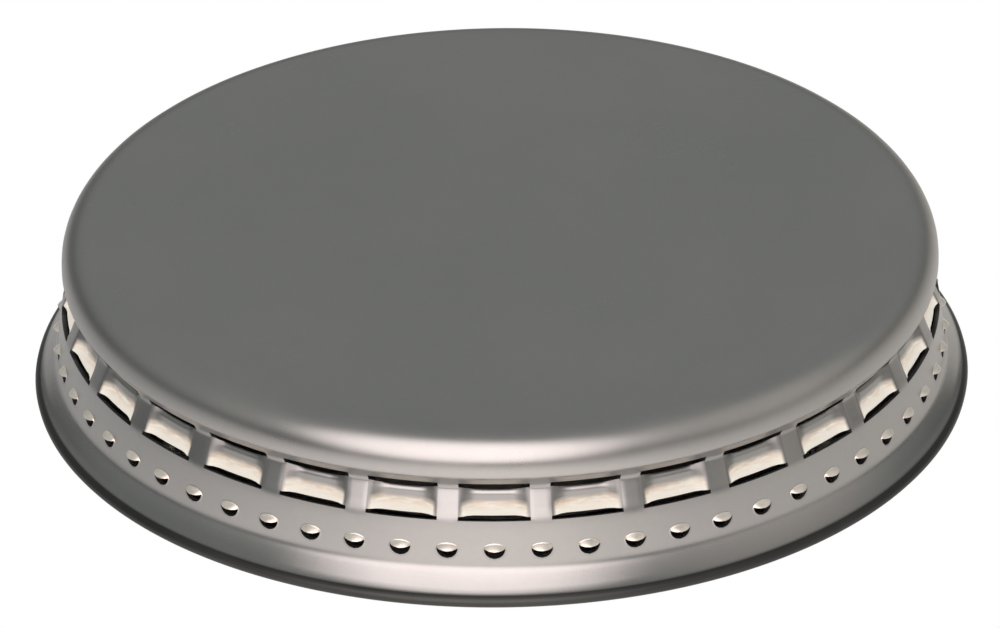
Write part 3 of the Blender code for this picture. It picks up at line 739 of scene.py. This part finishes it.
def add_thread(obj, radius, depth, pitch, base, top, centre=(0.0, 0.0, 0.0)):
    """A helical ridge on a cylinder, outward for a positive depth and inward for a negative one."""
    work = bmesh.new()
    work.from_mesh(obj.data)
    per_turn = 28
    last = int((top - base) / pitch * per_turn)
    sunk = -0.05 if depth > 0 else 0.05  # the ridge's foot lies this far inside the surface
    half_width = 0.42 * pitch
    previous = None
    for step in range(last + 1):
        fade = min(1.0, step / per_turn * 2, (last - step) / per_turn * 2)
        middle = base + pitch * step / per_turn
        outline = [(sunk, -half_width), (depth * fade + sunk, 0.0), (sunk, half_width)]
        ring = []
        for out, up in outline:
            point = polar(radius + out, 360.0 * step / per_turn, middle + up) + Vector(centre)
            ring.append(work.verts.new(point * MM))
        if previous:
            for i in range(3):
                j = (i + 1) % 3
                work.faces.new((previous[i], ring[i], ring[j], previous[j]))
        previous = ring
    bmesh.ops.recalc_face_normals(work, faces=work.faces)
    work.to_mesh(obj.data)
    work.free()


def join(obj, other):
    """Moves another piece's mesh into this one."""
    work = bmesh.new()
    work.from_mesh(obj.data)
    work.from_mesh(other.data)
    work.to_mesh(obj.data)
    work.free()
    bpy.data.objects.remove(other)


def cut(obj, cutter):
    """Cuts one piece with another and keeps the result as its mesh."""
    modifier = obj.modifiers.new("Cut", "BOOLEAN")
    modifier.operation = "DIFFERENCE"
    modifier.object = cutter
    modifier.solver = "EXACT"
    graph = bpy.context.evaluated_depsgraph_get()
    mesh = bpy.data.meshes.new_from_object(obj.evaluated_get(graph))
    obj.modifiers.clear()
    obj.data = mesh
    bpy.data.objects.remove(cutter)


def show(obj, node, material, body="head", sharp=32.0):
    """This piece is what is seen of the CAD node of that name."""
    obj.data.materials.clear()
    obj.data.materials.append(material)
    obj.data.shade_smooth()
    obj.data.set_sharp_from_angle(angle=radians(sharp))
    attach(obj, body)
    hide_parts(node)


def round_hole(radius, reach, angle, count=24):
    """Outline of a hole for a piece of this radius, with a gap round it."""
    return circle(radius + GAP, count, polar(reach, angle).to_2d())


def box_screw_holes():
    return [round_hole(SCREW_RADIUS, BOX_SCREW_REACH, angle) for angle in BOX_SCREW_ANGLES]


def make_base_pan(material):
    side = [(radius, SEAT_BASE) for radius in (SEAT_HOLE, SEAT_RADIUS)]
    side += [(radius, PAN_FLOOR) for radius in PAN_FLOOR_RADII]
    side += [(radius, PAN_LIP) for radius in PAN_LIP_RADII]
    pan = revolve("pan_pressing", sheet_profile(side, PAN_BEND), 144)
    holes = box_screw_holes()
    holes += [round_hole(FIXING_BARREL, FIXING_REACH, angle, 32) for angle in FIXING_ANGLES]
    cut(pan, flat_plate("pan_holes", holes, 0.0, HEAD_HEIGHT))
    show(pan, "base_pan", material)


def window_outlines():
    """The air windows, each a sector of a ring."""
    outlines = []
    for middle in (WINDOW_PITCH * i for i in range(WINDOW_COUNT)):
        start, end = middle - WINDOW_HALF_SPAN, middle + WINDOW_HALF_SPAN
        outside = arc((0.0, 0.0), WINDOW_RADII[1], start, end, 13)
        outlines.append(outside + arc((0.0, 0.0), WINDOW_RADII[0], end, start, 9))
    return outlines


def make_air_box(material):
    side = [(radius, BOX_FLOOR) for radius in (HOLDER_RADIUS + GAP, BOX_RADIUS)]
    side += [(radius, BOX_FLANGE) for radius in (BOX_RADIUS, TUBE_FLANGE_RADIUS)]
    box = revolve("box_pressing", sheet_profile(side, BOX_BEND), 120)
    holes = box_screw_holes() + [round_hole(LOCK_SCREW_RADIUS, LOCK_REACH, LOCK_ANGLE)]
    cut(box, flat_plate("box_holes", holes + window_outlines(), 0.0, HEAD_HEIGHT))
    show(box, "air_box", material)


def lock_slot():
    """Curved slot that lets the shutter turn past its lock screw."""
    half = LOCK_SCREW_RADIUS + GAP
    last, first = LOCK_ANGLE, LOCK_ANGLE - SHUTTER_TRAVEL
    outer = arc((0.0, 0.0), LOCK_REACH + half, first, last, 13)
    far_end = arc(polar(LOCK_REACH, last).to_2d(), half, last, last + 180.0, 11)[1:-1]
    inner = arc((0.0, 0.0), LOCK_REACH - half, last, first, 13)
    near_end = arc(polar(LOCK_REACH, first).to_2d(), half, first + 180.0, first + 360.0, 11)[1:-1]
    return outer + far_end + inner + near_end


def add_grip_ribs(shutter):
    """Low ribs across the underside of the finger tab."""
    work = bmesh.new()
    work.from_mesh(shutter.data)
    turn = Matrix.Rotation(radians(TAB_ANGLE), 4, "Z")
    size = Matrix.Diagonal([half * MM for half in RIB_SIZE] + [1.0])
    for reach in RIB_REACHES:
        spot = Matrix.Translation(polar(reach, TAB_ANGLE, SHUTTER_BASE) * MM)
        bmesh.ops.create_uvsphere(work, u_segments=16, v_segments=12, radius=1.0, matrix=spot @ turn @ size)
    work.to_mesh(shutter.data)
    work.free()


def make_air_shutter(material):
    """Turning plate with a finger tab."""
    half_width = TAB_WIDTH / 2
    half_tab = half_width / SHUTTER_RADIUS * 180.0 / pi
    edge = arc((0.0, 0.0), SHUTTER_RADIUS, TAB_ANGLE + half_tab, TAB_ANGLE + 360.0 - half_tab, 120)
    along = polar(1.0, TAB_ANGLE).to_2d()
    across = polar(1.0, TAB_ANGLE + 90.0).to_2d()
    tab = [(SHUTTER_RADIUS, -half_width), (TAB_REACH, -half_width)]
    tab += [(TAB_REACH, half_width), (SHUTTER_RADIUS, half_width)]
    edge += [tuple(along * out + across * side) for out, side in rounded(tab, TAB_CORNER)[1:-1]]
    outlines = [edge, circle(HOLDER_RADIUS + GAP), *window_outlines(), lock_slot()]
    top = SHUTTER_BASE + SHUTTER_SHEET
    shutter = flat_plate("shutter_plate", outlines, SHUTTER_BASE, top, SHUTTER_EDGE)
    add_grip_ribs(shutter)
    show(shutter, "air_shutter", material, "shutter")


def make_injector_holder(material):
    """Threaded stem on a hexagon, with the gas inlet's thread in its lower end."""
    root = HOLDER_RADIUS - 0.25  # foot of the outer thread
    seat, seat_floor = 2.7, HOLDER_TOP - 2.4  # the hollow that the jet is screwed into
    way = 1.6  # radius of the gas way
    joint = HOLDER_HEX_TOP - 0.5  # the stem starts inside the hexagon
    outside = [(HOLDER_RADIUS, joint), (root, HOLDER_HEX_TOP + 0.1), (root, HOLDER_TOP - 0.5)]
    outside += [(HOLDER_RADIUS - 0.7, HOLDER_TOP), (seat + 0.2, HOLDER_TOP)]
    inside = [(seat, HOLDER_TOP - 0.2), (seat, seat_floor), (way, seat_floor), (way, 6.8)]
    inside += [(INLET_RADIUS, 5.8), (INLET_RADIUS, joint)]
    holder = revolve("holder_stem", outside + inside, 64)
    hexagon = nut_profile(HOLDER_HEX, INLET_RADIUS, HOLDER_BASE, HOLDER_HEX_TOP)
    join(holder, revolve("holder_flange", hexagon, 96))
    add_thread(holder, root, depth=0.28, pitch=0.8, base=HOLDER_HEX_TOP + 0.5, top=HOLDER_TOP - 0.5)
    add_thread(holder, INLET_RADIUS, depth=-0.35, pitch=0.9, base=HOLDER_BASE + 0.5, top=5.6)
    show(holder, "injector_holder", material)


def make_injector(material):
    """Jet with a shank, a hexagon and a cone that ends in a small orifice."""
    bore, orifice = 1.3, 0.6
    shank = [(bore, JET_FOOT), (JET_RADIUS - 0.1, JET_FOOT), (JET_RADIUS, JET_FOOT + 0.2)]
    shank += [(JET_RADIUS, JET_SEAT + 0.2), (JET_RADIUS + 0.2, JET_SEAT + 1.3)]
    cone = [(1.7, JET_TIP - 0.15), (1.5, JET_TIP), (orifice, JET_TIP), (orifice, JET_TIP - 0.8)]
    jet = revolve("jet", shank + cone + [(bore, JET_TIP - 1.6)], 48)
    join(jet, revolve("jet_hex", nut_profile(JET_HEX, 2.0, JET_SEAT, JET_SEAT + 1.6), 72))
    show(jet, "injector", material)


def make_screw(node, place, radius, head, length, material):
    """Slotted screw that points up, with its rounded head below the place."""
    reach, angle, top = place
    centre = polar(reach, angle)
    head_radius, head_height = head
    root = radius - 0.15  # foot of the thread
    rim = 0.35 * head_height  # height of the head's straight side
    profile = [(0.0, length), (radius - 0.4, length), (root, length - 0.4), (root, 0.0)]
    profile.append((head_radius - 0.1, 0.0))
    for step in range(6):
        rise = radians(15.0 * step)
        profile.append((head_radius * cos(rise), -rim - 0.65 * head_height * sin(rise)))
    screw = revolve(node + "_turned", profile + [(0.0, -head_height)], 40, polar(reach, angle, top))
    driven = angle * 1.7  # where its slot came to rest
    turn = Matrix.Rotation(radians(driven), 4, "Z")
    spot = Matrix.Translation(polar(reach, angle, top - head_height) * MM)
    slot = (3 * head_radius, 0.32 * head_height, head_height)  # length, width and twice the depth
    size = Matrix.Diagonal([side * MM for side in slot] + [1.0])
    work = bmesh.new()
    bmesh.ops.create_cube(work, size=1.0, matrix=spot @ turn @ size)
    cut(screw, linked(node + "_slot", work))
    add_thread(screw, root, depth=0.18, pitch=0.7, base=top + 0.4, top=top + length - 0.5, centre=centre)
    show(screw, node, material)


def make_nut(node, reach, angle, nut, material):
    show(revolve(node + "_turned", nut_profile(*nut), 72, polar(reach, angle)), node, material)


def make_fixing_insert(node, angle, material):
    """Closed insert with a knurled flange and a thread from below."""
    base, barrel, bore = PAN_FLOOR, FIXING_BARREL, FIXING_BORE
    top = base + FIXING_LENGTH
    lower, upper = (base + side for side in FIXING_FLANGE)
    middle, ridge, ridges = FIXING_KNURL
    ceiling = top - 1.0

    def at(turn):
        knurl = middle + ridge * cos(radians(turn * ridges))
        barrel_side = [(0.0, top), (barrel - 0.4, top), (barrel, top - 0.4), (barrel, upper)]
        flange = [(knurl, upper), (knurl, lower), (barrel, lower)]
        foot = [(barrel, base + 0.15), (barrel - 0.15, base), (bore + 0.3, base), (bore, base + 0.3)]
        return barrel_side + flange + foot + [(bore, ceiling), (0.0, ceiling)]

    centre = polar(FIXING_REACH, angle)
    insert = revolve(node + "_turned", at, 120, centre)
    add_thread(insert, bore, depth=-0.25, pitch=0.8, base=base + 0.4, top=top - 1.4, centre=centre)
    show(insert, node, material)


def make_friction_washer(material):
    """Spring washer with waves round it."""
    bore, rim = WASHER_RADII
    half = WASHER_HALF_SHEET

    def at(angle):
        wave = WASHER_MIDDLE + WASHER_WAVE * cos(radians(WASHER_WAVES * angle))
        corners = [(bore, wave + half), (rim, wave + half), (rim, wave - half), (bore, wave - half)]
        return rounded(corners, 0.1, True, 2)

    show(revolve("wave_washer", at, 96), "friction_washer", material)


def make_tube(material):
    """Venturi: bell mouth, throat and widening outlet, on its flange."""
    throat, waist = TUBE_THROAT
    outlet, mouth = 12.8, 15.0
    flange_top = TUBE_FLANGE + SHEET
    inside = rounded([(mouth, TUBE_BASE), (13.2, 13.6), (throat, waist), (outlet, TUBE_TOP)], 3.0)
    outside = [(outlet + SHEET, TUBE_TOP), (throat + SHEET, waist), (14.4, flange_top)]
    outside = rounded(outside + [(TUBE_FLANGE_RADIUS, flange_top)], 1.5)
    foot = [(TUBE_FLANGE_RADIUS, TUBE_FLANGE), (mouth + SHEET, TUBE_FLANGE), (mouth + SHEET, TUBE_BASE)]
    tube = revolve("venturi", inside + outside + foot, 96)
    cut(tube, flat_plate("tube_holes", box_screw_holes(), 0.0, HEAD_HEIGHT))
    show(tube, "mixing_tube", material)


def make_underside(finishes):
    make_base_pan(finishes["inner_steel"])
    make_tube(finishes["inner_steel"])
    zinc = finishes["zinc_plate"]
    make_air_box(zinc)
    make_air_shutter(zinc)
    make_friction_washer(zinc)
    make_injector_holder(finishes["brass"])
    make_injector(finishes["brass"])
    for number, angle in enumerate(BOX_SCREW_ANGLES, 1):
        place = (BOX_SCREW_REACH, angle, BOX_SCREW_TOP)
        make_screw(f"box_screw_{number}", place, SCREW_RADIUS, BOX_SCREW_HEAD, BOX_SCREW_LENGTH, zinc)
        make_nut(f"box_nut_{number}", BOX_SCREW_REACH, angle, BOX_NUT, zinc)
    place = (LOCK_REACH, LOCK_ANGLE, LOCK_SCREW_TOP)
    make_screw("shutter_lock_screw", place, LOCK_SCREW_RADIUS, LOCK_SCREW_HEAD, LOCK_SCREW_LENGTH, zinc)
    make_nut("lock_screw_nut", LOCK_REACH, LOCK_ANGLE, LOCK_SCREW_NUT, zinc)
    make_nut("lock_nut", 0.0, 0.0, LOCK_NUT, zinc)
    for number, angle in enumerate(FIXING_ANGLES, 1):
        make_fixing_insert(f"fixing_nut_{number}", angle, zinc)


# ---------------------------------------------------------------- finishes
def make_finishes():
    return {
        "inner_steel": metal("inner_steel", grey(0.30, 0.03), grey(0.42, 0.02), 0.38),
        "zinc_plate": metal("zinc_plate", (0.50, 0.51, 0.48, 1.0), (0.66, 0.66, 0.61, 1.0), 0.30),
        "brass": metal("brass", (0.60, 0.42, 0.17, 1.0), (0.80, 0.60, 0.29, 1.0), 0.26),
        "copper": metal("copper", (0.62, 0.30, 0.18, 1.0), (0.80, 0.45, 0.30, 1.0), 0.32),
        "graphite_gasket": graphite(),
    }


def dress_nodes(finishes):
    """Gives each node that is shown as it is the finish of its material slot."""
    for entry in frame["record"]["subparts"]:
        finish = finishes.get(entry["material_slot"])
        if finish is not None:
            materials = frame["nodes"][entry["node"]].data.materials
            materials.clear()
            materials.append(finish)


# ---------------------------------------------------------------- studio, with its lengths in metres
VIEW_AZIMUTH = 1.18
VIEW_ELEVATION = 29.27
VIEW_ROLL = 0.756
VIEW_DISTANCE = 2.0925
LENS = 468.0
AIM_UP = 9.48 * MM
AIM_RIGHT = -0.26 * MM

KEY = (-9.0, 30.0)  # azimuth and elevation of the main light
KEY_EDGE = (41.0, 24.0)  # a light fades in between these angles from its middle
KEY_GLOW = (2.45, 2.20, 2.15, 1.0)
FILL = (74.0, 26.0)
FILL_EDGE = (36.0, 10.0)
FILL_GLOW = (0.60, 0.56, 0.53, 1.0)
ROOM = (0.315, 0.325, 0.315, 1.0)
HORIZON = (0.13, 0.135, 0.13, 1.0)
FLOOR_RADIUS = 14.0
FLOOR_DROP = (0.0, 0.0, -0.0002)
FLOOR_CLOSE = (0.24, 0.10)  # distance from the axis over which the close colours come in
FLOOR_LIT_SPOT = (-0.009, -0.108, 0.0)
FLOOR_LIT_SPREAD = 0.068
FLOOR_LIT = (1.35, 1.24, 1.19, 1.0)
CLOSE_TURN = (-0.1, 0.1)  # across this much of X a left colour turns into its right one
FAR_TURN = (-0.2, 0.3)
CLOSE_LEFT = (0.52, 0.51, 0.50, 1.0)
CLOSE_RIGHT = (0.68, 0.65, 0.61, 1.0)
FAR_LEFT = (0.20, 0.20, 0.195, 1.0)
FAR_RIGHT = (0.48, 0.45, 0.41, 1.0)
SOFT_LIGHT = 0.85  # share of the room that soft light sees as white
HORIZON_TOP = (0.02, 0.30)  # height of a unit direction at which the horizon turns into the room


def direction(azimuth, elevation):
    turn = radians(azimuth)
    rise = radians(elevation)
    return Vector((sin(turn) * cos(rise), -cos(turn) * cos(rise), sin(rise)))


def add_camera():
    back = direction(VIEW_AZIMUTH, VIEW_ELEVATION)
    right = Vector((0, 0, 1)).cross(back).normalized()
    up = back.cross(right)
    turn = radians(VIEW_ROLL)
    rolled_right = right * cos(turn) - up * sin(turn)
    rolled_up = up * cos(turn) + right * sin(turn)
    data = bpy.data.cameras.new("camera")
    data.lens = LENS
    data.sensor_width = 36.0
    data.clip_end = 60.0
    camera = bpy.data.objects.new("camera", data)
    bpy.context.scene.collection.objects.link(camera)
    place = back * VIEW_DISTANCE + rolled_up * AIM_UP + rolled_right * AIM_RIGHT
    axes = Matrix((rolled_right, rolled_up, back)).transposed().to_4x4()
    camera.matrix_world = Matrix.Translation(place) @ axes
    bpy.context.scene.camera = camera


def add_world():
    """Even dim room, darker low down, with a large soft light in front and a weak one on the right."""
    world = bpy.data.worlds.new("studio")
    bpy.context.scene.world = world
    nodes = Nodes(world)
    aim = nodes.add("ShaderNodeTexCoord").outputs["Generated"]
    height = nodes.add("ShaderNodeSeparateXYZ", {0: aim}).outputs[2]

    def patch(place, edge):
        toward = nodes.add("ShaderNodeVectorMath", {0: aim, 1: direction(*place)}, operation="DOT_PRODUCT")
        return nodes.ramp(toward.outputs["Value"], cos(radians(edge[0])), cos(radians(edge[1])))

    glow = nodes.mix(nodes.ramp(height, *HORIZON_TOP), HORIZON, ROOM)
    glow = nodes.mix(patch(FILL, FILL_EDGE), glow, FILL_GLOW)
    glow = nodes.mix(patch(KEY, KEY_EDGE), glow, KEY_GLOW)
    shader = nodes.add("ShaderNodeBackground", {"Color": nodes.for_gloss_only(glow, SOFT_LIGHT)})
    nodes.add("ShaderNodeOutputWorld", {"Surface": shader.outputs[0]})
    world.cycles.sampling_method = "NONE"


def add_floor():
    """White floor, clear from below. What it throws back at the object is brightest just in front of it."""
    work = bmesh.new()
    place = Matrix.Translation(FLOOR_DROP)
    bmesh.ops.create_circle(work, cap_ends=True, segments=96, radius=FLOOR_RADIUS, matrix=place)
    floor = linked("floor", work)
    material = bpy.data.materials.new("floor")
    nodes = Nodes(material)
    radius = nodes.ring_coordinates()[1]
    apart = {0: nodes.place(), 1: FLOOR_LIT_SPOT}
    lit = nodes.add("ShaderNodeVectorMath", apart, operation="DISTANCE").outputs["Value"]
    spread = nodes.maths("DIVIDE", lit, FLOOR_LIT_SPREAD)
    pool = nodes.maths("EXPONENT", nodes.maths("MULTIPLY", nodes.maths("MULTIPLY", spread, spread), -1.0))
    across = nodes.add("ShaderNodeSeparateXYZ", {0: nodes.place()}).outputs[0]
    far = nodes.mix(nodes.ramp(across, *FAR_TURN), FAR_LEFT, FAR_RIGHT)
    close = nodes.mix(nodes.ramp(across, *CLOSE_TURN), CLOSE_LEFT, CLOSE_RIGHT)
    tint = nodes.mix(nodes.ramp(radius, *FLOOR_CLOSE), far, close)
    tint = nodes.mix(pool, tint, FLOOR_LIT)
    shader = nodes.add("ShaderNodeEmission", {"Color": nodes.for_gloss_only(tint, 1.0)}).outputs[0]
    below = nodes.add("ShaderNodeNewGeometry").outputs["Backfacing"]
    clear = nodes.add("ShaderNodeBsdfTransparent").outputs[0]
    shader = nodes.add("ShaderNodeMixShader", {0: below, 1: shader, 2: clear}).outputs[0]
    nodes.add("ShaderNodeOutputMaterial", {"Surface": shader})
    material.cycles.emission_sampling = "NONE"
    floor.data.materials.append(material)


def set_view():
    scene = bpy.context.scene
    scene.view_settings.view_transform = "Standard"
    scene.view_settings.look = "None"


add_camera()
add_world()
add_floor()
set_view()
make_cap()
looks = make_finishes()
dress_nodes(looks)
make_underside(looks)
